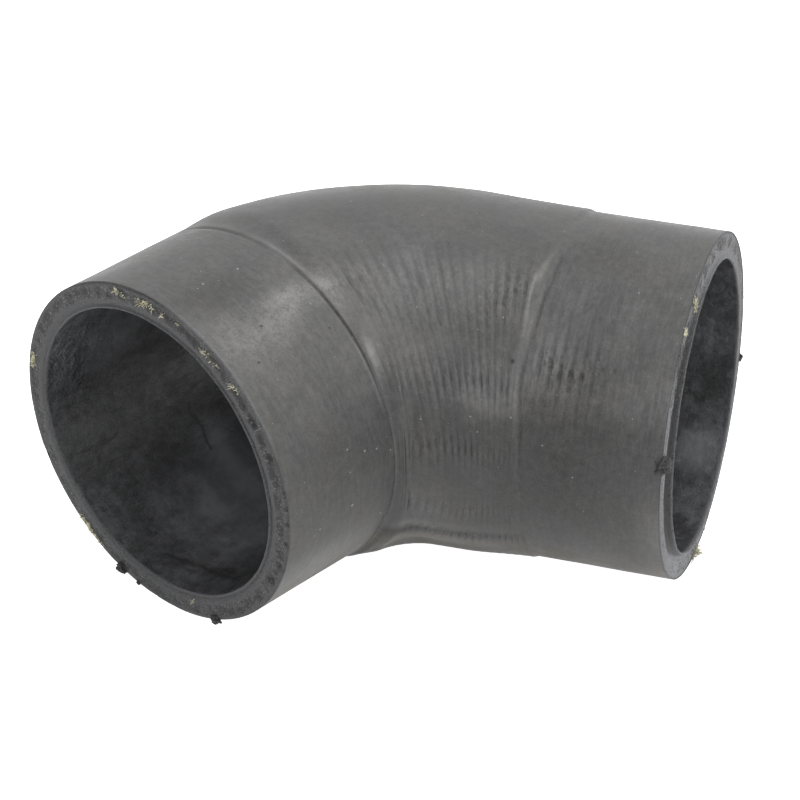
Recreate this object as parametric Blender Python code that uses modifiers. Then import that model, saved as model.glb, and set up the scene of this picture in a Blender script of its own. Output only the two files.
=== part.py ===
"""Intercooler hose: a short moulded rubber elbow with a wide cuff and a narrow cuff.

The hose lies on its side on a table, with the plane of its bend level. A straight blank is
turned from one closed profile, its soft forms are pressed in, and it is then bent along its
centreline. On the blank, x runs from the wide mouth to the narrow one, +y is the outside of
the bend and +z is up.
"""
import math

import bmesh
import bpy
from mathutils import Vector

MM = 0.001

# Bores and wall
WIDE_BORE = 73.5 * MM
NARROW_BORE = 70.0 * MM
WALL = 6.5 * MM
CUT_EDGE = 0.5 * MM

# Lengths along the centreline, and the bend
WIDE_CUFF = 34.0 * MM
NARROW_CUFF = 33.0 * MM
LEAD = 25.0 * MM
BEND_ANGLE = math.radians(64.0)
THROAT_RADIUS = 2.6 * MM

# Filling on the inside of the bend: its depth, the shares of the bend over which it comes and
# goes, and the share of the way round towards the inside at which it is whole
THROAT_FILL = 2.2 * MM
THROAT_FILL_START = 0.3
THROAT_FILL_END = 0.2
THROAT_FILL_TURN = 0.8

# Skin of the bend, which stands proud of both cuffs except along its underside
WIDE_STEP = 1.3 * MM
WIDE_SHOULDER = 9.0 * MM
NARROW_STEP = 0.45 * MM
NARROW_SHOULDER = 2.5 * MM
UNDERSIDE_SHARPNESS = 8

# Lip at the narrow seam, drawn back towards the bend on one side, where it overlaps and stands up
LIP_DRAW = 4.5 * MM
LIP_HEIGHT = 0.5 * MM
LIP_WIDTH = 3.0 * MM
LIP_ANGLE = math.radians(118.0)
LIP_REACH_ABOVE = math.radians(14.0)
LIP_REACH_BELOW = math.radians(32.0)

# Crease where the wide cuff meets the bend
CREASE_DEPTH = 0.6 * MM
CREASE_WIDTH = 2.4 * MM
CREASE_CLOSING = 0.6

# Two long folds under the throat
FOLD_HEIGHT = 0.5 * MM
FOLD_WIDTH = 5.0 * MM
FOLD_ANGLES = (math.radians(211.0), math.radians(225.0))

# Rest on the table
WIDE_SAG = 0.9 * MM
CONTACT_PRESS = 0.25 * MM

# Facets
SIDES = 64
CENTRELINE_STEPS = 48
WELD = 0.01 * MM
SHARP_ANGLE = math.radians(35.0)
CUFF_RINGS = 3
BEND_RINGS = 26
BORE_CUFF_RINGS = 2
BORE_BEND_RINGS = 20

# Finish
RUBBER_COLOUR = (0.075, 0.076, 0.077, 1.0)
RUBBER_ROUGHNESS = 0.55

# Sizes that follow
WIDE_OUTER = WIDE_BORE / 2 + WALL
NARROW_OUTER = NARROW_BORE / 2 + WALL
BEND_RADIUS = WIDE_OUTER + THROAT_FILL + THROAT_RADIUS
WIDE_SEAM = WIDE_CUFF
BEND_END = WIDE_SEAM + BEND_RADIUS * BEND_ANGLE
NARROW_SEAM = BEND_END + LEAD
LENGTH = NARROW_SEAM + NARROW_CUFF


def smooth(t):
    """0 to 1 with level ends, held outside that range."""
    t = min(max(t, 0.0), 1.0)
    return t * t * (3.0 - 2.0 * t)


def spread(start, end, count):
    """count + 1 evenly spaced places from start to end."""
    return [start + (end - start) * i / count for i in range(count + 1)]


def share_of_bend(x):
    """0 at the wide seam, 1 at the narrow seam."""
    return min(max((x - WIDE_SEAM) / (NARROW_SEAM - WIDE_SEAM), 0.0), 1.0)


def taper(x, wide, narrow):
    """A size that is wide at one cuff and narrow at the other, with a straight change between."""
    return wide + (narrow - wide) * share_of_bend(x)


def outer_radius(x):
    return taper(x, WIDE_OUTER, NARROW_OUTER)


def bore_radius(x):
    return taper(x, WIDE_BORE / 2, NARROW_BORE / 2)


def lip_share(angle):
    """1 where the narrow seam's lip is drawn back furthest, falling off above and below."""
    reach = LIP_REACH_ABOVE if angle < LIP_ANGLE else LIP_REACH_BELOW
    return math.exp(-(((angle - LIP_ANGLE) / reach) ** 2))


def step_height(x, angle):
    """How far the skin of the bend stands above the line of the cuffs, least past its middle."""
    w = share_of_bend(x)
    rise = smooth((x - WIDE_SEAM) / WIDE_SHOULDER)
    lip = NARROW_SEAM - LIP_DRAW * lip_share(angle)
    fall = smooth((lip - x) / NARROW_SHOULDER)
    return (WIDE_STEP * (1.0 - w) ** 2 + NARROW_STEP * w**4) * rise * fall


def lip_height(x, angle):
    """The ridge of the drawn-back lip, just inside its edge."""
    crest = NARROW_SEAM - LIP_DRAW * lip_share(angle) - NARROW_SHOULDER
    return LIP_HEIGHT * lip_share(angle) * math.exp(-(((x - crest) / (LIP_WIDTH / 2)) ** 2))


def crease_depth(x, angle):
    """A V groove on the wide seam, which closes up on the inside of the bend."""
    across = max(0.0, 1.0 - abs(x - WIDE_SEAM) / (CREASE_WIDTH / 2))
    inside = max(0.0, -math.cos(angle))
    return CREASE_DEPTH * across * (1.0 - CREASE_CLOSING * inside)


def fold_height(x, angle, radius):
    """Long folds along the underside of the throat, which die out towards both seams."""
    along = math.sin(math.pi * share_of_bend(x))
    across = sum(math.exp(-((angle - at) * radius / (FOLD_WIDTH / 2)) ** 2) for at in FOLD_ANGLES)
    return FOLD_HEIGHT * along * across


def throat_fill(x, angle):
    """How far the inside of the bend is filled out towards the bend's centre."""
    w = share_of_bend(x)
    inside = smooth(max(0.0, -math.cos(angle)) / THROAT_FILL_TURN)
    return THROAT_FILL * smooth(w / THROAT_FILL_START) * smooth((1.0 - w) / THROAT_FILL_END) * inside


def sag(x):
    return taper(x, WIDE_SAG, 0.0)


def lift(x):
    """How much higher the centreline lies than in the narrow cuff, so that each ring meets the table."""
    return outer_radius(x) - sag(x) - NARROW_OUTER


def pressed_skin(x, angle, inset):
    """A point that far inside the outer skin, with the step, lip, crease, folds and filled throat."""
    radius = outer_radius(x) - inset
    underside = max(0.0, -math.sin(angle)) ** UNDERSIDE_SHARPNESS
    radius += step_height(x, angle) * (1.0 - underside) + lip_height(x, angle)
    radius -= crease_depth(x, angle)
    radius += fold_height(x, angle, radius)
    return radius * math.cos(angle) - throat_fill(x, angle), radius * math.sin(angle)


def settled(x, y, z, radius):
    """The same point once the hose sags and lies on the table."""
    y *= 1.0 + sag(x) / radius
    z *= 1.0 - sag(x) / radius
    return Vector((x, y, max(z + lift(x), CONTACT_PRESS - NARROW_OUTER)))


def skin_stations():
    """Places of the rings of the outer skin, close together at the seams."""
    half_crease = CREASE_WIDTH / 2
    places = spread(CUT_EDGE, WIDE_SEAM - half_crease, CUFF_RINGS)
    places += [WIDE_SEAM]
    places += spread(WIDE_SEAM + half_crease, NARROW_SEAM - NARROW_SHOULDER, BEND_RINGS)
    places += [NARROW_SEAM - NARROW_SHOULDER / 2]
    places += spread(NARROW_SEAM, LENGTH - CUT_EDGE, CUFF_RINGS)
    return places


def bore_stations():
    places = spread(CUT_EDGE, WIDE_SEAM, BORE_CUFF_RINGS)
    places += spread(WIDE_SEAM, NARROW_SEAM, BORE_BEND_RINGS)[1:]
    places += spread(NARROW_SEAM, LENGTH - CUT_EDGE, BORE_CUFF_RINGS)[1:]
    return places


def wall_profile():
    """The wall's closed outline on the blank: bore, cut face, skin, cut face."""
    bore = [(x, bore_radius(x)) for x in bore_stations()]
    skin = [(x, outer_radius(x)) for x in skin_stations()]
    narrow_cut = [
        (LENGTH, bore_radius(LENGTH) + CUT_EDGE),
        (LENGTH, outer_radius(LENGTH) - CUT_EDGE),
    ]
    wide_cut = [
        (0.0, outer_radius(0.0) - CUT_EDGE),
        (0.0, bore_radius(0.0) + CUT_EDGE),
    ]
    return bore + narrow_cut + skin[::-1] + wide_cut


def turn_blank(collection):
    """The straight blank: the wall's outline turned about the x axis."""
    outline = wall_profile()
    mesh = bpy.data.meshes.new("blank")
    edges = [(i, (i + 1) % len(outline)) for i in range(len(outline))]
    mesh.from_pydata([(x, radius, 0.0) for x, radius in outline], edges, [])
    blank = bpy.data.objects.new("blank", mesh)
    collection.objects.link(blank)
    screw = blank.modifiers.new("Turn", "SCREW")
    screw.axis = "X"
    screw.angle = math.tau
    screw.steps = SIDES
    screw.render_steps = SIDES
    screw.use_merge_vertices = True
    screw.merge_threshold = WELD
    graph = bpy.context.evaluated_depsgraph_get()
    turned = bpy.data.meshes.new_from_object(blank.evaluated_get(graph))
    bpy.data.objects.remove(blank)
    return turned


def press_forms(mesh):
    """Moves each ring of the blank from its turned shape to its pressed and settled one."""
    body = bmesh.new()
    body.from_mesh(mesh)
    for vert in body.verts:
        x, y, z = vert.co
        radius = math.hypot(y, z)
        if radius > (outer_radius(x) + bore_radius(x)) / 2:
            angle = math.atan2(z, y) % math.tau
            y, z = pressed_skin(x, angle, outer_radius(x) - radius)
            radius = math.hypot(y, z)
        vert.co = settled(x, y, z, radius)
    bmesh.ops.recalc_face_normals(body, faces=body.faces)
    body.to_mesh(mesh)
    body.free()
    mesh.shade_smooth()
    mesh.set_sharp_from_angle(angle=SHARP_ANGLE)


def centreline(collection):
    """The guide that the blank is bent along: straight cuff, arc, straight lead and cuff."""
    turn = Vector((math.cos(BEND_ANGLE), math.sin(BEND_ANGLE), 0.0))
    arc_start = Vector((-math.sin(BEND_ANGLE), math.cos(BEND_ANGLE) - 1.0, 0.0)) * BEND_RADIUS
    ahead = Vector((1.0, 0.0, 0.0))
    # The handle length at which a Bezier curve follows an arc of this angle
    arc_reach = 4.0 / 3.0 * math.tan(BEND_ANGLE / 4.0) * BEND_RADIUS
    straight = LEAD + NARROW_CUFF
    knots = [
        (arc_start - turn * WIDE_CUFF, turn, WIDE_CUFF / 3, WIDE_CUFF / 3),
        (arc_start, turn, WIDE_CUFF / 3, arc_reach),
        (Vector(), ahead, arc_reach, straight / 3),
        (ahead * straight, ahead, straight / 3, straight / 3),
    ]
    curve = bpy.data.curves.new("centreline", "CURVE")
    curve.dimensions = "3D"
    curve.twist_mode = "Z_UP"
    curve.resolution_u = CENTRELINE_STEPS
    spline = curve.splines.new("BEZIER")
    spline.bezier_points.add(len(knots) - 1)
    for point, (place, direction, before, after) in zip(spline.bezier_points, knots):
        point.handle_left_type = "FREE"
        point.handle_right_type = "FREE"
        point.co = place
        point.handle_left = place - direction * before
        point.handle_right = place + direction * after
    guide = bpy.data.objects.new("centreline", curve)
    guide.hide_render = True
    guide.display_type = "WIRE"
    collection.objects.link(guide)
    return guide


def rubber():
    material = bpy.data.materials.new("black_rubber")
    material.use_nodes = True
    shader = material.node_tree.nodes["Principled BSDF"]
    shader.inputs["Base Color"].default_value = RUBBER_COLOUR
    shader.inputs["Roughness"].default_value = RUBBER_ROUGHNESS
    shader.inputs["Metallic"].default_value = 0.0
    return material


def stand_on_origin(base, piece):
    """Moves the base so that the origin is on the table, under the middle of the hose."""
    bpy.context.view_layer.update()
    evaluated = piece.evaluated_get(bpy.context.evaluated_depsgraph_get())
    points = [evaluated.matrix_world @ vert.co for vert in evaluated.data.vertices]
    low = Vector(min(point[i] for point in points) for i in range(3))
    high = Vector(max(point[i] for point in points) for i in range(3))
    base.location = Vector((-(low.x + high.x) / 2, -(low.y + high.y) / 2, -low.z))


def new_collection(name):
    collection = bpy.data.collections.new(name)
    bpy.context.scene.collection.children.link(collection)
    return collection


def build():
    for obj in list(bpy.data.objects):
        bpy.data.objects.remove(obj)
    parts = new_collection("intercooler_hose")
    guides = new_collection("guides")
    guides.hide_render = True

    base = bpy.data.objects.new("table_origin", None)
    parts.objects.link(base)
    mesh = turn_blank(guides)
    mesh.name = "hose"
    press_forms(mesh)
    mesh.materials.append(rubber())
    hose = bpy.data.objects.new("hose", mesh)
    parts.objects.link(hose)
    guide = centreline(guides)
    hose.parent = base
    guide.parent = base

    bend = hose.modifiers.new("Bend", "CURVE")
    bend.object = guide
    bend.deform_axis = "POS_X"
    stand_on_origin(base, hose)
    bpy.context.view_layer.update()


build()
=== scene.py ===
"""Looks of the intercooler hose: a short moulded rubber elbow with two knife-cut mouths.

The hose is laid out on a straight blank, as its solid is: x runs from the wide mouth to the
narrow one, +y is the outside of the bend and +z is up. An angle round the blank is 0 on the
outside of the bend, 90 degrees on top and 180 on the inside. The blank is then bent in its place.
"""
import math

import bmesh
import bpy
import numpy as np
from mathutils import Matrix, Quaternion, Vector, noise


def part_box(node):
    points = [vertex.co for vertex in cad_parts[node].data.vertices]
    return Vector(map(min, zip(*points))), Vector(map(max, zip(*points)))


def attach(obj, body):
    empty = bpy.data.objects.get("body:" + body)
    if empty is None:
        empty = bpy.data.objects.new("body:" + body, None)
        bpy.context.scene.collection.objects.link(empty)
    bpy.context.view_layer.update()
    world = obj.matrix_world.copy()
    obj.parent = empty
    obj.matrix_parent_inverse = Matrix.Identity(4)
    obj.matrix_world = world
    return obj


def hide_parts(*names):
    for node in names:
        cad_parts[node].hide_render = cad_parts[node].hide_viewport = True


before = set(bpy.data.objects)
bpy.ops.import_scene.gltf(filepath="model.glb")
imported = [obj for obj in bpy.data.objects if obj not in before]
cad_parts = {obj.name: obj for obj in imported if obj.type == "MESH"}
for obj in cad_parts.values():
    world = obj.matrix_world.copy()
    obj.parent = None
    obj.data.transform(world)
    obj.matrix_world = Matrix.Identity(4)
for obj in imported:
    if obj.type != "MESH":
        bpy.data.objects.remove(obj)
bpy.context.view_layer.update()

MM = 0.001
deg = math.radians

# The hose's sizes, as its solid has them
WIDE_BORE = 73.5 * MM
NARROW_BORE = 70.0 * MM
WALL = 6.5 * MM
CUT_EDGE = 0.5 * MM
WIDE_CUFF = 34.0 * MM
NARROW_CUFF = 33.0 * MM
LEAD = 25.0 * MM
BEND_ANGLE = deg(64.0)
THROAT_RADIUS = 2.6 * MM
THROAT_FILL = 2.2 * MM
THROAT_FILL_END = 0.2
THROAT_FILL_TURN = 0.8
WIDE_STEP = 1.3 * MM
NARROW_STEP = 0.45 * MM
UNDERSIDE_SHARPNESS = 8
LIP_HEIGHT = 0.5 * MM
LIP_ANGLE = deg(118.0)
LIP_REACH_ABOVE = deg(14.0)
LIP_REACH_BELOW = deg(32.0)
FOLD_HEIGHT = 0.5 * MM
FOLD_WIDTH = 5.0 * MM
FOLD_ANGLES = (deg(211.0), deg(225.0))
WIDE_SAG = 0.9 * MM
CONTACT_PRESS = 0.25 * MM

# Sizes that follow
WIDE_OUTER = WIDE_BORE / 2 + WALL
NARROW_OUTER = NARROW_BORE / 2 + WALL
BEND_RADIUS = WIDE_OUTER + THROAT_FILL + THROAT_RADIUS
WIDE_SEAM = WIDE_CUFF
BEND_END = WIDE_SEAM + BEND_RADIUS * BEND_ANGLE
NARROW_SEAM = BEND_END + LEAD
LENGTH = NARROW_SEAM + NARROW_CUFF

# Fineness of the mesh: places round the body, and round the mouths, where it is three times finer
SIDES = 180
MOUTH_SIDES = 3 * SIDES
MOUTH_REACH = 2.0 * MM

# The places round stand closer together on the inside of the bend, where the fine forms are
SIDE_SHARES = (0.0, 0.19, 0.745, 1.0)
SIDE_ANGLES = (0.0, deg(92.0), deg(228.0), math.tau)

# Seams: the crease on the wide seam, its rolled bead, and the drawn-back lip on the narrow seam
GROOVE_DEPTH = 0.62 * MM
GROOVE_WIDTH = 0.5 * MM
BEAD_HEIGHT = 0.32 * MM
BEAD_WIDTH = 1.1 * MM
SEAM_WANDER = 0.35 * MM
LIP_FALL = 1.4 * MM
LIP_CREST = 1.2 * MM
FOLD_CREST = 0.3 * MM
FOLD_CRESTS = (deg(205.5), deg(215.5))

# Cord ridges: they fan out from a pivot beyond the throat, and run square to the narrow cuff
RIDGE_PIVOT_BACK = 15.2 * MM
RIDGE_TURN = deg(2.88)
CUFF_RIDGE_PITCH = 2.55 * MM
RIDGE_HEIGHT = 0.14 * MM

# Bands round the hose where the cord shows: degrees, reach in degrees, and how plainly
BEND_BANDS = (
    (119.0, 10.0, 1.6), (131.0, 8.0, 0.45), (149.5, 8.5, 1.45), (172.0, 8.0, 0.8), (195.5, 5.0, 0.8),
    (209.5, 3.0, 1.1),
)
CUFF_BANDS = ((143.0, 11.0, 2.5), (122.0, 6.0, 0.7))

# Unevenness: heights, and the sizes of the lumps
DENT_DEPTH = 0.14 * MM
DENT_SIZE = 22.0 * MM
SMALL_DENT_DEPTH = 0.04 * MM
SMALL_DENT_SIZE = 7.0 * MM
BORE_DENT_DEPTH = 0.3 * MM
BORE_DENT_SIZE = 14.0 * MM
RUCK_HEIGHT = 0.9 * MM
RUCK_REACH = 5.0 * MM
CUFF_LINE_DEPTH = 0.12 * MM
CUFF_LINE_WIDTH = 0.45 * MM

# The rounded edges of the cut faces: how deep, and over what share of the wall
CUT_ROUNDING = 0.35 * MM
ROUNDING_SHARE = 0.035


def smooth(t):
    """0 to 1 with level ends, held outside that range."""
    t = np.clip(t, 0.0, 1.0)
    return t * t * (3.0 - 2.0 * t)


def gentle(t):
    """As smooth, with an even softer start and end."""
    t = np.clip(t, 0.0, 1.0)
    return t * t * t * (t * (6.0 * t - 15.0) + 10.0)


def swell(t):
    """A soft hump, 1 at t = 0 and nearly gone at t = 2."""
    return np.exp(-np.square(t))


def share_of_bend(x):
    return np.clip((x - WIDE_SEAM) / (NARROW_SEAM - WIDE_SEAM), 0.0, 1.0)


def taper(x, wide, narrow):
    return wide + (narrow - wide) * share_of_bend(x)


def outer_radius(x):
    return taper(x, WIDE_OUTER, NARROW_OUTER)


def bore_radius(x):
    return taper(x, WIDE_BORE / 2, NARROW_BORE / 2)


def field(places, size, seed):
    """Smooth noise from about -1 to 1 at each place, with lumps of that size."""
    shift = Vector((seed * 7.31, seed * 3.17, seed * 5.53))
    flat = places.reshape(-1, 3) / size
    values = [noise.noise(Vector(place) + shift) for place in flat]
    return np.array(values).reshape(places.shape[:-1])


def by_angle(angle, *stops):
    """A value that runs straight between (degrees, value) stops round the hose."""
    return np.interp(np.degrees(angle), [stop[0] for stop in stops], [stop[1] for stop in stops])


def lip_share(angle):
    reach = np.where(angle < LIP_ANGLE, LIP_REACH_ABOVE, LIP_REACH_BELOW)
    return swell((angle - LIP_ANGLE) / reach)


def lip_edge(angle):
    """Where the bend's skin ends at the narrow seam."""
    drawn = by_angle(angle, (0, 0), (100, 0), (104, 0.3), (108.5, 1.3), (116, 2.3), (121, 2.4),
                     (128, 1.8), (134, 1.6), (141, 2.2), (148, 2.2), (165, 0.8), (185, 0.2),
                     (210, 0), (360, 0))
    return NARROW_SEAM - drawn * MM


def insideness(angle):
    """1 on the inside of the bend, 0 on the outside."""
    return smooth(np.maximum(0.0, -np.cos(angle)) / THROAT_FILL_TURN)


def step_height(x, angle):
    w = share_of_bend(x)
    shoulder = by_angle(angle, (0, 9), (100, 9), (150, 17), (198, 17), (216, 6), (262, 6), (300, 9), (360, 9))
    rise = gentle((x - WIDE_SEAM) / (shoulder * MM))
    fall = smooth((lip_edge(angle) - x) / LIP_FALL)
    return (WIDE_STEP * (1.0 - w) ** 2 + NARROW_STEP * w**4) * rise * fall


def lip_crest(x, angle):
    """1 along the crest of the drawn-back lip."""
    crest = lip_edge(angle) - LIP_FALL
    return lip_share(angle) * swell((x - crest) / LIP_CREST)


def groove_share(angle):
    """How far the crease on the wide seam is open: it is closed where the bend is tight."""
    return by_angle(angle, (0, 0.55), (60, 0.55), (95, 0.5), (100, 0.15), (106, 0.45), (113, 1.0),
                    (128, 1.0), (138, 0.55), (150, 0.3), (157, 0.0), (196, 0.0), (205, 0.3), (218, 0.4),
                    (360, 0.55))


def bead_share(angle):
    """How far the bend's skin is rolled over the crease."""
    return by_angle(angle, (0, 0.1), (84, 0.1), (95, 0.7), (103, 1.0), (109, 0.2), (124, 0.2), (134, 0.8),
                    (142, 1.0), (152, 0.6), (159, 0.0), (215, 0.0), (230, 0.1), (360, 0.1))


def seam_line(angle):
    return WIDE_SEAM + SEAM_WANDER * np.sin(3.0 * angle + 0.6)


def bead_line(angle):
    return seam_line(angle) + by_angle(angle, (0, 1.6), (90, 1.0), (105, 1.0), (125, 1.8), (360, 1.8)) * MM


def crease(x, angle):
    """The thin groove on the wide seam, with the soft bead that rolls over it from the bend."""
    groove = GROOVE_DEPTH * swell((x - seam_line(angle)) / GROOVE_WIDTH) * groove_share(angle)
    bead = BEAD_HEIGHT * swell((x - bead_line(angle)) / BEAD_WIDTH) * bead_share(angle)
    return bead - groove


def second_line(x, angle):
    """1 along the thin line that the cuff's own edge leaves beside the lip."""
    shown = by_angle(angle, (0, 0), (102, 0), (105, 1), (150, 0.9), (172, 0.3), (190, 0), (360, 0))
    line = by_angle(angle, (0, 0.4), (105, 0.4), (114, 0.1), (122, -0.6), (134, -1.1), (147, -1.8),
                    (165, -0.5), (180, 0.2), (360, 0.2))
    return shown * swell((x - NARROW_SEAM - line * MM) / CUFF_LINE_WIDTH)


def fold_height(x, angle, radius):
    along = np.sin(math.pi * share_of_bend(x))
    across = sum(swell((angle - at) * radius / (FOLD_WIDTH / 2)) for at in FOLD_ANGLES)
    crest = sum(swell((angle - at) / deg(2.2)) for at in FOLD_CRESTS)
    return along * (FOLD_HEIGHT * across + FOLD_CREST * crest)


def throat_fill(x, angle):
    w = share_of_bend(x)
    start = by_angle(angle, (0, 0.45), (198, 0.45), (216, 0.22), (262, 0.22), (300, 0.45), (360, 0.45))
    return THROAT_FILL * gentle(w / start) * smooth((1.0 - w) / THROAT_FILL_END) * insideness(angle)


def settled(x, y, z):
    """The same points once the hose sags and lies on the table."""
    radius = np.hypot(y, z)
    sag = taper(x, WIDE_SAG, 0.0)
    lift = outer_radius(x) - sag - NARROW_OUTER
    return y * (1.0 + sag / radius), np.maximum(z * (1.0 - sag / radius) + lift, CONTACT_PRESS - NARROW_OUTER)


def bent(x, y, z):
    """The same points once the blank is bent, before it is put in its place."""
    heading = BEND_ANGLE * np.clip((BEND_END - x) / (BEND_END - WIDE_SEAM), 0.0, 1.0)
    before = np.minimum(x - WIDE_SEAM, 0.0)
    after = np.maximum(x - BEND_END, 0.0)
    line_x = -BEND_RADIUS * np.sin(heading) + before * math.cos(BEND_ANGLE) + after
    line_y = BEND_RADIUS * (np.cos(heading) - 1.0) + before * math.sin(BEND_ANGLE)
    return np.stack([line_x - np.sin(heading) * y, line_y + np.cos(heading) * y, z + 0.0 * x], axis=-1)


def base_place():
    """Where the blank's bent axis starts, so that both mouths lie where the solid's do."""
    low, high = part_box("hose")
    mouth = bent(np.array(0.0), np.array(0.0), np.array(0.0))
    half_width = WIDE_OUTER - CUT_EDGE + WIDE_SAG
    return np.array([
        high.x - LEAD - NARROW_CUFF,
        low.y + half_width * math.cos(BEND_ANGLE) - mouth[1],
        NARROW_OUTER - CONTACT_PRESS,
    ])


BASE = base_place()


def ridge_phase(x, angle):
    """Turns of the cord ridges: a fan over the bend, then even steps along the narrow cuff."""
    point = bent(x, outer_radius(x) * np.cos(angle), 0.0 * x)
    pivot = np.array([LEAD, -BEND_RADIUS - RIDGE_PIVOT_BACK])
    fan = (np.arctan2(point[..., 1] - pivot[1], point[..., 0] - pivot[0]) - math.pi / 2) / RIDGE_TURN
    return np.where(x < NARROW_SEAM, -fan, (x - NARROW_SEAM) / CUFF_RIDGE_PITCH)


def banded(angle, bands):
    return sum(shown * swell((angle - deg(at)) / deg(reach)) for at, reach, shown in bands)


def ridge_strength(x, angle):
    """How plainly the cord shows through the skin, from place to place."""
    on_far_side = 0.25 * smooth((angle - deg(215.0)) / deg(20.0))
    on_bend = smooth((x - WIDE_SEAM - 3.0 * MM) / (12.0 * MM)) * (x < NARROW_SEAM)
    on_cuff = swell((x - NARROW_SEAM - 6.0 * MM) / (11.0 * MM)) * (x >= NARROW_SEAM)
    near_throat = (1.0 - smooth((x - 50.0 * MM) / (16.0 * MM))) * smooth((angle - deg(148.0)) / deg(9.0))
    bend_bands = banded(angle, BEND_BANDS) + on_far_side
    return bend_bands * on_bend * (1.0 - near_throat) + banded(angle, CUFF_BANDS) * on_cuff


def skin_places(x, angle):
    """Places on the bent hose, for unevenness that the tight inside of the bend doesn't squeeze."""
    return bent(x, outer_radius(x) * np.cos(angle), outer_radius(x) * np.sin(angle))


def cord_show(x, angle):
    """How plainly the cord shows, broken up in patches."""
    patchy = 0.65 + 0.6 * field(skin_places(x, angle), 9.0 * MM, 3)
    return ridge_strength(x, angle) * np.clip(patchy, 0.15, 1.3)


def skin_detail(x, angle, near_mouth):
    """What stands on the turned skin beside the solid's own forms: ridges and hand-worn unevenness."""
    places = skin_places(x, angle)
    ridges = np.sin(math.tau * ridge_phase(x, angle)) * cord_show(x, angle)
    dents = DENT_DEPTH * field(places, DENT_SIZE, 1) + SMALL_DENT_DEPTH * field(places, SMALL_DENT_SIZE, 2)
    away_from_table = smooth((np.sin(angle) + 0.97) / 0.1)
    line = -CUFF_LINE_DEPTH * second_line(x, angle)
    return (RIDGE_HEIGHT * ridges + dents * (1.0 - near_mouth) + line) * away_from_table


def skin_point(x, angle):
    near_mouth = np.maximum(swell(x / (4.0 * MM)), swell((LENGTH - x) / (4.0 * MM)))
    radius = outer_radius(x)
    underside = np.maximum(0.0, -np.sin(angle)) ** UNDERSIDE_SHARPNESS
    radius = radius + step_height(x, angle) * (1.0 - underside) + LIP_HEIGHT * lip_crest(x, angle)
    radius = radius + crease(x, angle) + skin_detail(x, angle, near_mouth)
    radius = radius + fold_height(x, angle, radius)
    return radius * np.cos(angle) - throat_fill(x, angle), radius * np.sin(angle)


def bore_point(x, angle):
    """The bore, a little uneven, and rucked on the inside of the bend."""
    even = bore_radius(x)
    places = np.stack([x + 0.0 * angle, even * np.cos(angle), even * np.sin(angle)], axis=-1)
    ruck = RUCK_HEIGHT * swell((x - WIDE_SEAM - 2.0 * MM) / RUCK_REACH) * np.maximum(0.0, -np.cos(angle)) ** 2
    within = smooth(x / (8.0 * MM)) * smooth((LENGTH - x) / (8.0 * MM))
    radius = even - (ruck + BORE_DENT_DEPTH * field(places, BORE_DENT_SIZE, 5)) * within
    return radius * np.cos(angle), radius * np.sin(angle)


def wide_relief(share, angle, places):
    """How far the wide cut face stands out from its plane: a knife's waves, torn plies, a soft lip."""
    waves = 0.12 * MM * field(places, 6.0 * MM, 11)
    torn = 0.3 * MM * field(places, 1.0 * MM, 12) * swell((share - 0.66) / 0.2)
    ply = -0.25 * MM * swell((share - 0.7) / 0.13) * (0.6 + 0.4 * np.cos(angle - deg(120.0)))
    liner = 0.25 * MM * swell((share - 0.05) / 0.05) - 0.25 * MM * swell((share - 0.16) / 0.05)
    return waves + torn + ply + liner - 0.6 * MM * nick_share("wide", share, angle)


def narrow_relief(share, angle, places):
    """The same on the narrow cut face, whose liner stands proud past a deep groove."""
    waves = 0.08 * MM * field(places, 6.0 * MM, 21)
    torn = 0.2 * MM * field(places, 1.0 * MM, 22) * swell((share - 0.6) / 0.25) * torn_narrow(angle)
    near_side = 0.5 - 0.5 * np.cos(angle - deg(15.0))
    liner = (0.2 + 1.1 * near_side) * MM * (1.0 - smooth((share - 0.05) / 0.11))
    groove = -0.5 * MM * swell((share - 0.33) / 0.13) * near_side
    slope = -0.4 * MM * smooth((share - 0.7) / 0.3)
    return waves + torn + liner + groove + slope - 0.5 * MM * nick_share("narrow", share, angle)


def torn_wide(angle):
    """How torn the wide cut face is, round the mouth."""
    return by_angle(angle, (0, 0.8), (60, 0.9), (100, 1.5), (165, 1.5), (190, 0.9), (260, 0.7), (360, 0.8))


def torn_narrow(angle):
    return by_angle(angle, (0, 0.7), (60, 1.1), (95, 1.7), (145, 1.4), (155, 0.2), (225, 0.2),
                    (255, 0.8), (360, 0.7))


# Nicks in each mouth's cut face: share of the wall, degrees, and their reach across and round
NICKS = {
    "wide": (
        (0.77, 156.0, 0.10, 1.2), (0.97, 168.0, 0.12, 1.0), (0.97, 173.5, 0.12, 0.9),
        (0.90, 179.0, 0.10, 0.8), (0.85, 187.0, 0.10, 1.0), (0.71, 197.5, 0.14, 1.2),
        (0.65, 205.5, 0.16, 1.0), (0.60, 144.0, 0.12, 1.3), (0.55, 138.0, 0.10, 1.0),
        (0.98, 334.0, 0.12, 1.4),
    ),
    "narrow": (
        (0.97, 132.0, 0.12, 1.5), (0.60, 120.0, 0.15, 1.5), (0.60, 137.0, 0.15, 1.5),
    ),
}


def nick_share(mouth, share, angle):
    """1 in the nicks of a cut face."""
    total = np.zeros(np.shape(angle))
    for at_share, at_angle, across, around in NICKS[mouth]:
        near = swell((angle - deg(at_angle)) / deg(around))
        total = total + swell((share - at_share) / across) * near
    return np.minimum(total, 1.0)


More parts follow.
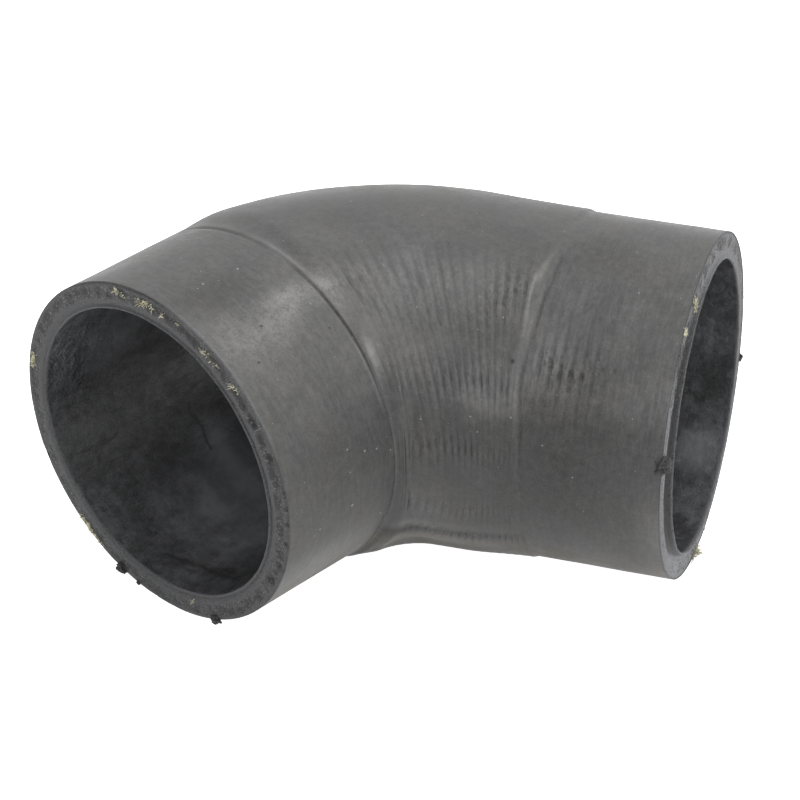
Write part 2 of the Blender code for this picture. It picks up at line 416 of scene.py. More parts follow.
def wall_rings():
    """The wall's closed outline, ring by ring: (place along, share of the wall, zone, points round)."""
    skin = np.concatenate([
        np.array([0.25, 0.7, 1.3]) * MM,
        np.linspace(2.6 * MM, WIDE_SEAM - 2.0 * MM, 14),
        np.linspace(WIDE_SEAM - 1.6 * MM, WIDE_SEAM + 4.4 * MM, 25),
        np.linspace(WIDE_SEAM + 4.9 * MM, BEND_END, 104),
        np.linspace(BEND_END + 0.26 * MM, NARROW_SEAM + 1.0 * MM, 98),
        np.linspace(NARROW_SEAM + 1.4 * MM, LENGTH - 8.0 * MM, 56),
        np.linspace(LENGTH - 6.5 * MM, LENGTH - 2.6 * MM, 3),
        LENGTH - np.array([1.3, 0.7, 0.25]) * MM,
    ])
    cut = [0.985, 0.955, 0.9, 0.83, 0.76, 0.69, 0.62, 0.55, 0.49,
           0.42, 0.34, 0.26, 0.19, 0.14, 0.1, 0.065, 0.035, 0.012]
    bore = np.concatenate([
        LENGTH - np.array([0.2, 0.6, 1.3]) * MM,
        np.linspace(LENGTH - 3.0 * MM, 3.0 * MM, 52),
        np.array([1.3, 0.6, 0.2]) * MM,
    ])
    rings = [(x, 1.0, "skin") for x in skin]
    rings += [(LENGTH, share, "narrow_cut") for share in cut]
    rings += [(x, 0.0, "bore") for x in bore]
    rings += [(0.0, share, "wide_cut") for share in reversed(cut)]
    return [(x, share, zone, ring_sides(x, zone)) for x, share, zone in rings]


def ring_sides(x, zone):
    near_mouth = x < MOUTH_REACH or x > LENGTH - MOUTH_REACH
    return MOUTH_SIDES if near_mouth or zone.endswith("cut") else SIDES


def cut_point(x, share, angle, relief, outward):
    """A point on a cut face: between bore and skin, rounded off at both edges, with its relief."""
    outer_y, outer_z = skin_point(x, angle)
    inner_y, inner_z = bore_point(x, angle)
    y = inner_y + (outer_y - inner_y) * share
    z = inner_z + (outer_z - inner_z) * share
    places = np.stack([x + 0.0 * angle, y, z], axis=-1)
    edge = CUT_ROUNDING * (swell((1.0 - share) / ROUNDING_SHARE) + 0.6 * swell(share / ROUNDING_SHARE))
    return x + outward * (relief(share, angle, places) - edge), y, z


def ring_points(x, share, zone, count):
    """The angles, the blank's own places and the bent places of one ring."""
    angle = np.interp(np.arange(count) / count, SIDE_SHARES, SIDE_ANGLES)
    x = np.full(count, x)
    if zone == "skin":
        y, z = skin_point(x, angle)
    elif zone == "bore":
        y, z = bore_point(x, angle)
    elif zone == "wide_cut":
        x, y, z = cut_point(x, share, angle, wide_relief, -1.0)
    else:
        x, y, z = cut_point(x, share, angle, narrow_relief, 1.0)
    blank = np.stack([x, y, z], axis=-1)
    return angle, blank, bent(x, *settled(x, y, z)) + BASE


ZONES = ("skin", "narrow_cut", "bore", "wide_cut")


def strip_faces(start_a, count_a, start_b, count_b):
    """Faces between two rings. Where one ring is three times finer, each coarse side meets three."""
    faces = []
    if count_a == count_b:
        for i in range(count_a):
            j = (i + 1) % count_a
            faces.append((start_a + i, start_a + j, start_b + j, start_b + i))
        return faces
    fine_first = count_a > count_b
    fine, coarse = (start_a, start_b) if fine_first else (start_b, start_a)
    fine_count, coarse_count = max(count_a, count_b), min(count_a, count_b)
    for i in range(coarse_count):
        c0, c1 = coarse + i, coarse + (i + 1) % coarse_count
        f0, f1, f2, f3 = (fine + (3 * i + k) % fine_count for k in range(4))
        cell = [(c0, f1, f0), (c0, c1, f2, f1), (c1, f3, f2)]
        faces += [face[::-1] for face in cell] if fine_first else cell
    return faces


# Patches of dust or bloom on the skin, and in the bore patches of painted light in a dusty colour: place
# along in mm, degrees, reach along in mm and round in degrees, thickness
DUST_AND_LIGHT_PATCHES = {
    "skin": (
        (26.5, 116.5, 7.5, 4.5, 1.05), (16.5, 120.0, 9.0, 6.5, 0.6), (7.0, 121.0, 8.0, 9.0, 0.42),
        (39.5, 117.5, 5.0, 5.0, 1.05), (39.0, 124.0, 4.0, 5.0, 0.4),
    ),
    "bore": (
        (38.2, 304.0, 1.4, 9.0, 2.0), (39.8, 309.0, 4.5, 11.0, 0.7), (39.2, 292.0, 1.8, 7.0, 1.2),
        (32.0, 287.0, 12.0, 17.0, 0.6), (17.2, 290.0, 3.0, 4.0, 0.25), (4.2, 267.5, 1.6, 2.5, 0.65),
        (6.8, 258.5, 1.6, 2.5, 0.4), (45.0, 275.0, 16.0, 25.0, 0.6), (139.5, 308.0, 5.0, 8.0, 1.7),
        (142.5, 283.0, 5.0, 8.0, 0.2),
    ),
}

# Broad lighter and darker stretches of painted light and painted shade, with their tone in the last column
BROAD_PAINTED_LIGHT = {
    "skin": (
        (42.5, 178.0, 7.0, 15.0, 0.65), (58.0, 128.0, 20.0, 17.0, 0.3), (76.0, 117.5, 22.0, 8.0, 1.0),
        (88.0, 147.0, 24.0, 9.0, 0.6), (41.0, 149.0, 4.5, 9.0, 0.75), (41.4, 142.5, 2.8, 5.5, 1.9),
        (115.5, 141.0, 8.0, 12.0, 0.42), (109.0, 112.0, 8.0, 8.0, -0.12),
        (127.0, 105.0, 14.0, 9.0, -0.27), (142.0, 149.0, 7.0, 8.0, 0.78), (145.5, 195.0, 4.5, 12.0, 1.0),
        (121.0, 178.0, 19.0, 23.0, -0.58), (89.0, 198.0, 8.0, 11.0, 0.7), (18.0, 166.0, 11.0, 16.0, -0.2),
        (13.0, 206.0, 15.0, 9.0, 1.3), (70.0, 200.0, 14.0, 8.0, 0.2), (61.0, 74.0, 34.0, 12.0, 0.28),
        (12.0, 100.0, 16.0, 9.0, -0.3), (60.0, 93.0, 10.0, 6.0, -0.12), (121.0, 97.0, 9.0, 8.0, -0.3),
        (12.0, 105.0, 11.0, 8.0, -0.26), (10.0, 239.0, 8.0, 8.0, 0.9), (48.0, 141.0, 6.0, 7.0, 0.5),
        (64.0, 150.0, 9.0, 6.0, 0.4), (113.5, 145.0, 3.0, 5.0, 0.25), (124.5, 144.0, 5.0, 6.0, -0.28),
        (104.0, 155.0, 7.0, 6.0, 0.7), (116.0, 154.0, 3.5, 5.0, -0.3),
    ),
    "bore": (
        (31.0, 279.0, 15.0, 26.0, 2.2), (35.5, 298.0, 5.0, 10.0, 0.4), (5.0, 262.0, 5.0, 14.0, 0.5),
        (42.5, 321.0, 3.5, 8.0, -0.6), (10.5, 254.0, 2.6, 14.0, -0.75), (3.8, 17.0, 6.0, 14.0, 0.7),
        (7.0, 45.0, 10.0, 28.0, 0.5), (14.0, 21.0, 10.0, 20.0, 0.85), (31.0, 7.0, 12.0, 16.0, 0.7),
        (3.0, 344.0, 5.0, 12.0, 0.35), (5.2, 315.0, 5.0, 9.0, 0.4), (13.0, 304.0, 5.0, 9.0, -0.35),
        (18.0, 267.0, 6.0, 8.0, 0.6), (38.8, 299.0, 3.0, 13.0, 1.6), (139.5, 308.0, 4.5, 7.0, 3.5),
        (142.0, 297.0, 3.0, 7.0, 0.4), (136.0, 0.0, 12.0, 20.0, 0.9), (136.0, 360.0, 12.0, 20.0, 0.9),
    ),
}


def patched(rows, x, angle):
    """The sum of the rows' soft patches at each place."""
    total = np.zeros(len(angle))
    for along, at, reach, spread, amount in rows:
        near = swell((x - along * MM) / (reach * MM))
        total = total + amount * near * swell((angle - deg(at)) / deg(spread))
    return total


def lip_painted_light(x, angle):
    """A painted highlight along the lip's crest, and a painted shadow with a painted highlight beside the
    thin line of the cuff's own edge.
    """
    # How bright the painted highlight on the lip's crest is, round the hose
    worn = by_angle(angle, (0, 0.5), (97, 0.5), (102, 1.5), (113, 1.5), (122, 1.0), (150, 0.9), (175, 0.3),
                    (360, 0.3))
    crest = lip_share(angle) * swell((x - lip_edge(angle) + LIP_FALL) / (0.9 * MM))
    return worn * crest - 0.5 * second_line(x, angle) + 0.35 * second_line(x + 1.0 * MM, angle)


def painted_skin_light(x, angle):
    """Painted light and shade on the skin: lighter as painted highlights on its crests, darker as painted
    shade in the creases.
    """
    cuff_line = by_angle(angle, (0, 0), (132, 0), (140, 1), (154, 1), (160, 0), (360, 0))
    bend_line = by_angle(angle, (0, 0.1), (84, 0.1), (95, 0.8), (104, 1.1), (112, 0.3), (125, 0.2),
                         (160, 0), (360, 0))
    # Painted shade in the seam's groove, and painted highlights along the cuff's edge and along the bead
    seam = -0.6 * groove_share(angle) * swell((x - seam_line(angle)) / (0.55 * MM))
    seam = seam + 0.8 * cuff_line * swell((x - seam_line(angle) + 0.95 * MM) / (0.35 * MM))
    seam = seam + bend_line * swell((x - bead_line(angle)) / (0.9 * MM))
    along = np.sin(math.pi * share_of_bend(x)) ** 0.6
    # Painted highlights and painted shade along the folds underneath
    folds = 0.9 * swell((angle - deg(204.7)) / deg(1.8)) - 0.65 * swell((angle - deg(208.8)) / deg(1.8))
    folds = folds + 1.1 * swell((angle - deg(214.5)) / deg(2.4))
    cut_edge = (1.1 * light_edge(angle) - 0.5 * top_edge(angle)) * swell(x / (0.7 * MM))
    # Painted light and shade by angle round the hose: lighter on top, darker underneath
    bloom = by_angle(angle, (0, 0), (70, 0), (95, 0.12), (112, 0.18), (150, 0.18), (160, 0), (170, -0.1),
                     (215, -0.12), (240, 0), (360, 0))
    broad = patched(BROAD_PAINTED_LIGHT["skin"], x, angle)
    return seam + lip_painted_light(x, angle) + folds * along + cut_edge + bloom + broad


def wide_cut_tone_and_light(share, angle):
    # Tones of the wide cut face, partly painted light and shade: lighter along both edges, darker in the band
    # of the plies and along the liner, and painted shade in the nicks
    inner = by_angle(angle, (0, 0.1), (30, 0.4), (60, 0.8), (95, 0.6), (110, 0.1), (150, 0.7), (240, 0.5),
                     (280, 0.1), (360, 0.1))
    ply = by_angle(angle, (0, 0.2), (80, 0.3), (100, 0.6), (140, 0.6), (160, 0.3), (200, 0.15), (360, 0.2))
    liner = by_angle(angle, (0, 0.2), (120, 0.2), (150, 0.8), (240, 0.6), (270, 0.2), (360, 0.2))
    lip = 0.1 + 1.2 * light_edge(angle)
    tone_and_painted_light = lip * swell((share - 0.985) / 0.04) + inner * swell((share - 0.03) / 0.035)
    tone_and_painted_light = tone_and_painted_light - ply * swell((share - 0.66) / 0.18) - liner * swell((share - 0.14) / 0.035)
    tone_and_painted_light = tone_and_painted_light - 0.7 * top_edge(angle) * swell((share - 1.0) / 0.05)
    tone_and_painted_light = tone_and_painted_light - by_angle(angle, (0, 0.18), (60, 0.12), (280, 0.12), (360, 0.18))
    return tone_and_painted_light - 0.9 * nick_share("wide", share, angle)


def top_edge(angle):
    """Where the wide face's outer edge is seen as a thin dark line."""
    return by_angle(angle, (0, 0), (48, 0), (62, 1), (92, 1), (99, 0), (360, 0))


def light_edge(angle):
    """Where the wide face's outer edge is seen as a thin light line."""
    return by_angle(angle, (0, 0), (97, 0), (104, 1), (148, 1), (157, 0), (360, 0))


def narrow_cut_painted_light(share, angle):
    # Painted light and shade on the narrow cut face: a lit outer band, a painted shadow on the side of the
    # proud liner in the groove, a painted highlight on the liner's rim, and painted shade in the nicks
    near_side = by_angle(angle, (0, 0), (98, 0), (125, 1), (208, 1), (236, 0), (360, 0))
    outer = by_angle(angle, (0, 0.1), (40, 0.5), (95, 0.6), (115, 0.2), (140, 0.5), (150, 1.5), (200, 1.4),
                     (225, 2.3), (262, 2.2), (285, 2.0), (305, 1.2), (360, 0.1))
    liner = by_angle(angle, (0, 0.6), (95, 0.6), (120, 1.1), (150, 1.8), (235, 1.8), (265, 0.9), (360, 0.6))
    band = smooth((share - 0.4 * near_side) / 0.12)
    tone_and_painted_light = outer * band + liner * swell(share / 0.07)
    tone_and_painted_light = tone_and_painted_light - 0.9 * near_side * (1.0 - band) * smooth((share - 0.06) / 0.05)
    return tone_and_painted_light - 0.9 * nick_share("narrow", share, angle)


def crinkle_share(x, angle):
    """How crinkled the wide bore is: most of all on the outside of the bend, just within the mouth."""
    outside = swell((angle - deg(15.0)) / deg(24.0)) + swell((angle - deg(375.0)) / deg(24.0))
    return 1.1 * outside * swell((x - 6.0 * MM) / (9.0 * MM))


def ring_paint(zone, x, share, angle):
    """The painted values of one ring: tone_and_painted_light (painted light and shade), dust_and_light (dust
    on the skin, painted light in the bore), the cord's turns and its show.

    On a cut the dust is how torn it is, and in the bore the cord's show is how crinkled it is.
    """
    x = np.full(len(angle), x)
    flat = np.zeros(len(angle))
    if zone == "skin":
        dust_and_light = patched(DUST_AND_LIGHT_PATCHES[zone], x, angle)
        return painted_skin_light(x, angle), dust_and_light, ridge_phase(x, angle), cord_show(x, angle)
    if zone == "bore":
        dust_and_light = patched(DUST_AND_LIGHT_PATCHES[zone], x, angle)
        return patched(BROAD_PAINTED_LIGHT[zone], x, angle), dust_and_light, flat, crinkle_share(x, angle)
    if zone == "wide_cut":
        return wide_cut_tone_and_light(share, angle), torn_wide(angle), flat, flat
    return narrow_cut_painted_light(share, angle), torn_narrow(angle), flat, flat


def paint(mesh, name, values):
    attribute = mesh.attributes.new(name, "FLOAT", "POINT")
    attribute.data.foreach_set("value", np.asarray(values, np.float32))


def hose_mesh():
    """The whole wall as one closed surface, with the blank's places kept for the materials."""
    rings = wall_rings()
    blanks, worlds, starts, shares, paints, faces, zones = [], [], [], [], [], [], []
    total = 0
    for x, share, zone, count in rings:
        angle, blank, world = ring_points(x, share, zone, count)
        blanks.append(blank)
        worlds.append(world)
        shares.append(np.full(count, share))
        paints.append(np.stack(ring_paint(zone, x, share, angle)))
        starts.append(total)
        total += count
    for i, (ring, start) in enumerate(zip(rings, starts)):
        j = (i + 1) % len(rings)
        cells = strip_faces(start, ring[3], starts[j], rings[j][3])
        faces += cells
        cut_zones = {ring[2], rings[j][2]} & {"narrow_cut", "wide_cut"}
        zone = cut_zones.pop() if cut_zones else ring[2]
        zones += [ZONES.index(zone)] * len(cells)
    mesh = bpy.data.meshes.new("moulded_wall")
    mesh.from_pydata(np.concatenate(worlds).tolist(), [], faces)
    mesh.update()
    mesh.polygons.foreach_set("material_index", np.array(zones, np.int32))
    mesh.polygons.foreach_set("use_smooth", np.ones(len(faces), bool))
    blank = mesh.attributes.new("blank", "FLOAT_VECTOR", "POINT")
    blank.data.foreach_set("vector", np.concatenate(blanks).astype(np.float32).ravel())
    paint(mesh, "wall_share", np.concatenate(shares))
    for name, values in zip(("tone_and_painted_light", "dust_and_light", "cord_turns", "cord_show"), np.concatenate(paints, axis=1)):
        paint(mesh, name, values)
    return mesh


def node(tree, kind, inputs=None, **settings):
    """A shader node with its settings, and with each named input set or linked."""
    made = tree.nodes.new("ShaderNode" + kind)
    for name, value in settings.items():
        setattr(made, name, value)
    for name, value in (inputs or {}).items():
        if isinstance(value, bpy.types.NodeSocket):
            tree.links.new(value, made.inputs[name])
        else:
            made.inputs[name].default_value = value
    return made


def math_of(tree, operation, *values):
    return node(tree, "Math", dict(enumerate(values)), operation=operation).outputs[0]


def times(tree, first, second):
    return math_of(tree, "MULTIPLY", first, second)


def ramp(tree, value, low, high, start=0.0, end=1.0):
    """start below low, end above high, and a smooth change between."""
    made = node(tree, "MapRange", {
        "Value": value, "From Min": low, "From Max": high, "To Min": start, "To Max": end,
    }, interpolation_type="SMOOTHSTEP")
    return made.outputs["Result"]


def blended(tree, share, first, second):
    """A colour between two colours."""
    return node(tree, "Mix", {0: share, 6: first, 7: second}, data_type="RGBA").outputs[2]


def joined(tree, operation, first, second):
    """The vector that two vectors make."""
    return node(tree, "VectorMath", {0: first, 1: second}, operation=operation).outputs["Vector"]


def scaled(tree, vector, factor):
    return node(tree, "VectorMath", {0: vector, "Scale": factor}, operation="SCALE").outputs["Vector"]


def flat_place(tree, x, y):
    """A place on a flat sheet, with no height."""
    return node(tree, "CombineXYZ", {"X": x, "Y": y, "Z": 0.0}).outputs["Vector"]


def gap_between(tree, first, second):
    return node(tree, "VectorMath", {0: first, 1: second}, operation="DISTANCE").outputs["Value"]


def grey(value, warmth=0.0):
    return (value * (1.0 + warmth), value, value * (1.0 - warmth), 1.0)


def noise_of(tree, place, scale, detail=3.0, roughness=0.55):
    made = node(tree, "TexNoise", {"Vector": place, "Scale": scale, "Detail": detail, "Roughness": roughness})
    return made.outputs["Fac"]


def effect_group(name, inputs, outputs, build):
    """A node group that build() fills in. Its inputs are Place and the ones given, None for a vector."""
    tree = bpy.data.node_groups.new(name, "ShaderNodeTree")
    for label, value in {"Place": None, **inputs}.items():
        kind = VECTOR if value is None else FLOAT
        socket = tree.interface.new_socket(label, in_out="INPUT", socket_type=kind)
        if value is not None:
            socket.default_value = value
    for label in outputs:
        tree.interface.new_socket(label, in_out="OUTPUT", socket_type=FLOAT)
    source = tree.nodes.new("NodeGroupInput")
    results = build(tree, source.outputs)
    sink = tree.nodes.new("NodeGroupOutput")
    for label, socket in results.items():
        tree.links.new(socket, sink.inputs[label])
    return tree


BORE_ARC = 36.5  # millimetres round the bore for each radian
PIT_SPACING = 2.85  # millimetres
FLOAT = "NodeSocketFloat"
VECTOR = "NodeSocketVector"


def build_bloom(tree, given):
    """Grey bloom that rubber sweats out: broad clouds with finer mottling."""
    clouds = noise_of(tree, given["Place"], given["Clouds"], 4.0, 0.6)
    mottle = noise_of(tree, given["Place"], given["Mottle"], 3.0, 0.7)
    both = math_of(tree, "MULTIPLY_ADD", clouds, 0.65, times(tree, mottle, 0.35))
    return {"Mask": ramp(tree, both, 0.36, 0.66)}


def build_streaks(tree, given):
    """Fine lines that run round the hose, where the cord presses through the skin."""
    parts = node(tree, "SeparateXYZ", {"Vector": given["Place"]}).outputs
    turn = math_of(tree, "ARCTAN2", parts["Y"], parts["Z"])
    along = times(tree, parts["X"], given["Along"])
    around = times(tree, turn, given["Around"])
    lines = noise_of(tree, flat_place(tree, along, around), 1.0, 4.0, 0.65)
    return {"Height": lines, "Mask": ramp(tree, lines, 0.42, 0.62)}


def build_cast(tree, given):
    """Patches where the rubber is a little yellowed."""
    clouds = noise_of(tree, given["Place"], given["Clouds"], 3.0, 0.6)
    return {"Mask": ramp(tree, clouds, 0.4, 0.62)}


def build_grain(tree, given):
    """The fine tooth of moulded rubber."""
    fine = noise_of(tree, given["Place"], given["Scale"], 2.0, 0.6)
    coarse = noise_of(tree, given["Place"], times(tree, given["Scale"], 0.22), 2.0, 0.5)
    height = math_of(tree, "MULTIPLY_ADD", fine, 0.6, times(tree, coarse, 0.4))
    return {"Height": height}


def build_specks(tree, given):
    """Scattered specks: one to a cell at most, and none in most cells."""
    cells = node(tree, "TexVoronoi", {"Vector": given["Place"], "Scale": given["Scale"], "Randomness": 1.0})
    parts = node(tree, "SeparateColor", {"Color": cells.outputs["Color"]}).outputs
    chosen = math_of(tree, "GREATER_THAN", parts["Red"], given["Rarity"])
    size = times(tree, parts["Green"], given["Size"])
    near = math_of(tree, "LESS_THAN", cells.outputs["Distance"], size)
    return {"Mask": times(tree, chosen, near)}


def build_spot(tree, given):
    """One soft round spot."""
    away = gap_between(tree, given["Place"], given["Centre"])
    nearness = math_of(tree, "SUBTRACT", 1.0, math_of(tree, "DIVIDE", away, given["Size"]))
    return {"Mask": ramp(tree, nearness, 0.0, 0.7)}


def build_cord(tree, given):
    """Ridges of the cord under the skin, unevenly broken, with finer lines among them."""
    wobble = times(tree, noise_of(tree, given["Place"], 0.3, 2.0), 2.0)
    turn = times(tree, given["Turns"], math.tau)
    wave = math_of(tree, "SINE", math_of(tree, "ADD", turn, wobble))
    fine_wobble = times(tree, noise_of(tree, given["Place"], 0.6, 2.0), 6.0)
    fine = math_of(tree, "SINE", math_of(tree, "MULTIPLY_ADD", turn, 2.0, fine_wobble))
    broken = ramp(tree, noise_of(tree, given["Place"], 0.45, 3.0, 0.6), 0.36, 0.62, 0.25, 1.3)
    both = math_of(tree, "MULTIPLY_ADD", fine, 0.36, times(tree, wave, broken))
    return {"Height": times(tree, both, given["Show"])}


def build_pit_row(tree, given):
    """A row of small pits along the hose."""
    parts = node(tree, "SeparateXYZ", {"Vector": given["Place"]}).outputs
    turn = math_of(tree, "ARCTAN2", parts["Z"], parts["Y"])
    off_line = math_of(tree, "ABSOLUTE", math_of(tree, "SUBTRACT", turn, given["Angle"]))
    off_middle = math_of(tree, "ABSOLUTE", math_of(tree, "SUBTRACT", parts["X"], given["Middle"]))
    step = math_of(tree, "SINE", times(tree, parts["X"], math.tau / PIT_SPACING))
    in_line = times(tree, ramp(tree, off_line, 0.0, 0.03, 1.0, 0.0), ramp(tree, step, 0.2, 0.9))
    return {"Mask": times(tree, in_line, ramp(tree, off_middle, 3.0, 5.5, 1.0, 0.0))}


def build_scratch(tree, given):
    """A thin wavering line between two places, measured along and round the bore."""
    parts = node(tree, "SeparateXYZ", {"Vector": given["Place"]}).outputs
    arc = times(tree, math_of(tree, "ARCTAN2", parts["Z"], parts["Y"]), BORE_ARC)
    flat = flat_place(tree, parts["X"], arc)
    wander = node(tree, "TexNoise", {"Vector": given["Place"], "Scale": 0.3, "Detail": 3.0}).outputs["Color"]
    shift = joined(tree, "SUBTRACT", wander, (0.5, 0.5, 0.5))
    shift = joined(tree, "MULTIPLY", shift, (3.0, 3.0, 0.0))
    away = joined(tree, "SUBTRACT", joined(tree, "ADD", flat, shift), given["Start"])
    span = joined(tree, "SUBTRACT", given["End"], given["Start"])
    along = node(tree, "VectorMath", {0: away, 1: span}, operation="DOT_PRODUCT").outputs["Value"]
    length = node(tree, "VectorMath", {0: span, 1: span}, operation="DOT_PRODUCT").outputs["Value"]
    share = node(tree, "Clamp", {"Value": math_of(tree, "DIVIDE", along, length)}).outputs["Result"]
    foot = scaled(tree, span, share)
    gap = gap_between(tree, away, foot)
    return {"Mask": ramp(tree, gap, times(tree, given["Width"], 0.3), given["Width"], 1.0, 0.0)}


def build_crinkle(tree, given):
    """Thin dark veins that branch through rubber that has been rucked and pressed flat again."""
    folds = noise_of(tree, given["Place"], given["Scale"], 4.0, 0.65)
    off_vein = math_of(tree, "ABSOLUTE", math_of(tree, "SUBTRACT", folds, 0.5))
    return {"Mask": ramp(tree, off_vein, 0.0, 0.035, 1.0, 0.0), "Height": folds}


def build_knife_cut(tree, given):
    """A cut face: pits and torn cord in the band of the plies, slits round it, and the knife's drag lines."""
    pits = noise_of(tree, given["Place"], 2.0, 5.0, 0.75)
    crumbs = noise_of(tree, given["Place"], 2.2, 4.0, 0.7)
    lumps = noise_of(tree, given["Place"], 0.3, 2.0, 0.5)
    off_ply = math_of(tree, "ABSOLUTE", math_of(tree, "SUBTRACT", given["Share"], 0.64))
    ply = ramp(tree, off_ply, 0.12, 0.32, 1.0, 0.0)
    torn = times(tree, ply, given["Torn"])
    torn = times(tree, torn, ramp(tree, lumps, 0.4, 0.62))
    pitted = ramp(tree, math_of(tree, "MULTIPLY_ADD", torn, 0.13, pits), 0.58, 0.61)
    parts = node(tree, "SeparateXYZ", {"Vector": given["Place"]}).outputs
    turn = math_of(tree, "ARCTAN2", parts["Z"], times(tree, parts["Y"], -1.0))
    across = times(tree, given["Share"], 13.0)
    around = times(tree, turn, 26.0)
    slits = times(tree, noise_of(tree, flat_place(tree, across, around), 1.0, 3.0, 0.6), torn)
    pitted = math_of(tree, "MAXIMUM", pitted, ramp(tree, slits, 0.62, 0.72))
    loose = times(tree, math_of(tree, "MULTIPLY_ADD", ply, 0.7, 0.3), given["Torn"])
    light = times(tree, ramp(tree, crumbs, 0.56, 0.65), loose)
    lines = flat_place(tree, times(tree, given["Share"], 14.0), lumps)
    drag = noise_of(tree, lines, 1.0, 3.0, 0.6)
    height = math_of(tree, "SUBTRACT", times(tree, drag, 0.4), pitted)
    return {"Pits": pitted, "Crumbs": light, "Drag": drag, "Height": height}


BLOOM = effect_group("Grey Bloom", {"Clouds": 0.06, "Mottle": 0.7}, ["Mask"], build_bloom)
STREAKS = effect_group("Cord Streaks", {"Along": 1.4, "Around": 9.0}, ["Height", "Mask"], build_streaks)
CAST = effect_group("Yellow Cast", {"Clouds": 0.07}, ["Mask"], build_cast)
GRAIN = effect_group("Rubber Grain", {"Scale": 4.0}, ["Height"], build_grain)
SPECKS = effect_group("Loose Specks", {"Scale": 0.3, "Size": 0.12, "Rarity": 0.7}, ["Mask"], build_specks)
KNIFE_CUT = effect_group(
    "Knife Cut", {"Share": 0.5, "Torn": 1.0}, ["Pits", "Crumbs", "Drag", "Height"], build_knife_cut)
SPOT = effect_group("Soft Spot", {"Centre": None, "Size": 1.0}, ["Mask"], build_spot)
CORD = effect_group("Cord Ridges", {"Turns": 0.0, "Show": 0.0}, ["Height"], build_cord)
CRINKLE = effect_group("Crinkle", {"Scale": 0.3}, ["Mask", "Height"], build_crinkle)
PIT_ROW = effect_group("Pit Row", {"Angle": 2.0, "Middle": 0.0}, ["Mask"], build_pit_row)
SCRATCH = effect_group("Faint Scratch", {"Start": None, "End": None, "Width": 0.4}, ["Mask"], build_scratch)


def placed_group(tree, group, inputs):
    return node(tree, "Group", inputs, node_tree=group).outputs


def principled(name, roughness):
    material = bpy.data.materials.new(name)
    material.use_nodes = True
    shader = material.node_tree.nodes["Principled BSDF"]
    shader.inputs["Roughness"].default_value = roughness
    return material, material.node_tree, shader


def attribute(tree, name, output="Fac"):
    return node(tree, "Attribute", attribute_name=name).outputs[output]


def blank_place(tree):
    """The surface's place on the straight blank, in millimetres."""
    return scaled(tree, attribute(tree, "blank", "Vector"), 1.0 / MM)


def own_place(tree):
    """The place in the part's frame, in millimetres, which the tight inside of the bend doesn't squeeze."""
    return scaled(tree, node(tree, "NewGeometry").outputs["Position"], 1.0 / MM)


def bumped(tree, shader, height, depth, strength=1.0):
    """depth is the height in metres of the bump's full range."""
    made = node(tree, "Bump", {"Height": height, "Distance": depth, "Strength": strength})
    tree.links.new(made.outputs["Normal"], shader.inputs["Normal"])


def toned(tree, colour, tone_and_painted_light):
    """The colour times one plus the tone, never quite black."""
    factor = math_of(tree, "MAXIMUM", math_of(tree, "ADD", tone_and_painted_light, 1.0), 0.12)
    return scaled(tree, colour, factor)


def skin_spot(x, degrees):
    """A place on the skin of the straight blank, in millimetres."""
    y, z = skin_point(np.full(1, x * MM), np.full(1, deg(degrees)))
    return Vector((x, y[0] / MM, z[0] / MM))


def skin_spots(tree, place, rows):
    """The masks of soft spots on the skin."""
    return [placed_group(tree, SPOT, {"Place": place, "Centre": skin_spot(x, at), "Size": size})["Mask"]
            for x, at, size in rows]


def bore_spot(x, degrees):
    """A place along and round the bore, in millimetres."""
    turn = deg(degrees - 360.0 if degrees > 180.0 else degrees)
    return Vector((x, BORE_ARC * turn, 0.0))


def strongest(tree, masks):
    total = masks[0]
    for mask in masks[1:]:
        total = math_of(tree, "MAXIMUM", total, mask)
    return total


SKIN_DARK = (0.033, 0.033, 0.034, 1.0)
SKIN_GREY = (0.061, 0.060, 0.059, 1.0)
DUST = grey(0.17, 0.03)
SPECK = grey(0.2, 0.02)
CUT_DARK = (0.022, 0.0225, 0.0245, 1.0)
CUT_GREY = (0.068, 0.069, 0.074, 1.0)
TORN_CORD = grey(0.26, 0.05)
BORE_DARK = (0.027, 0.0275, 0.029, 1.0)
BORE_GREY = (0.056, 0.057, 0.060, 1.0)
BORE_PAINTED_LIGHT = (0.135, 0.139, 0.150, 1.0)
CORD_CREAM = (0.66, 0.63, 0.46, 1.0)
CORD_SOILED = (0.24, 0.23, 0.16, 1.0)

# Where the streaks fade out from the wide cuff and in on the narrow one, and where the low skin starts
# to look warm, in millimetres on the blank
WIDE_STREAKS_FADE = (33.0, 38.0)
NARROW_STREAKS_FADE = (109.0, 113.0)
LOW_SKIN = (-26.0, -19.0)

# Dark dots and light specks on the skin: place along in mm, degrees, and size in mm
PIN_DOTS = ((15.0, 119.5, 0.5), (8.2, 129.0, 0.5), (29.8, 130.0, 0.45), (108.4, 142.0, 0.75))
LIGHT_SPECKS = (
    (22.8, 98.0, 0.4), (12.8, 97.0, 0.4), (61.0, 83.5, 0.3), (133.0, 113.0, 0.3), (20.2, 165.5, 0.35),
    (25.2, 169.0, 0.4), (28.8, 170.5, 0.35), (33.0, 173.5, 0.3), (20.2, 185.5, 0.5), (31.2, 197.5, 0.4),
    (10.0, 187.5, 0.35), (40.8, 163.5, 0.3), (89.5, 163.0, 0.3), (100.8, 160.0, 0.3), (109.8, 159.5, 0.3),
    (125.0, 176.5, 0.28),
)

# Rows of pits: degrees, and the place along of their middle in mm
PIT_ROWS = ((140.2, 129.0), (124.5, 127.5))


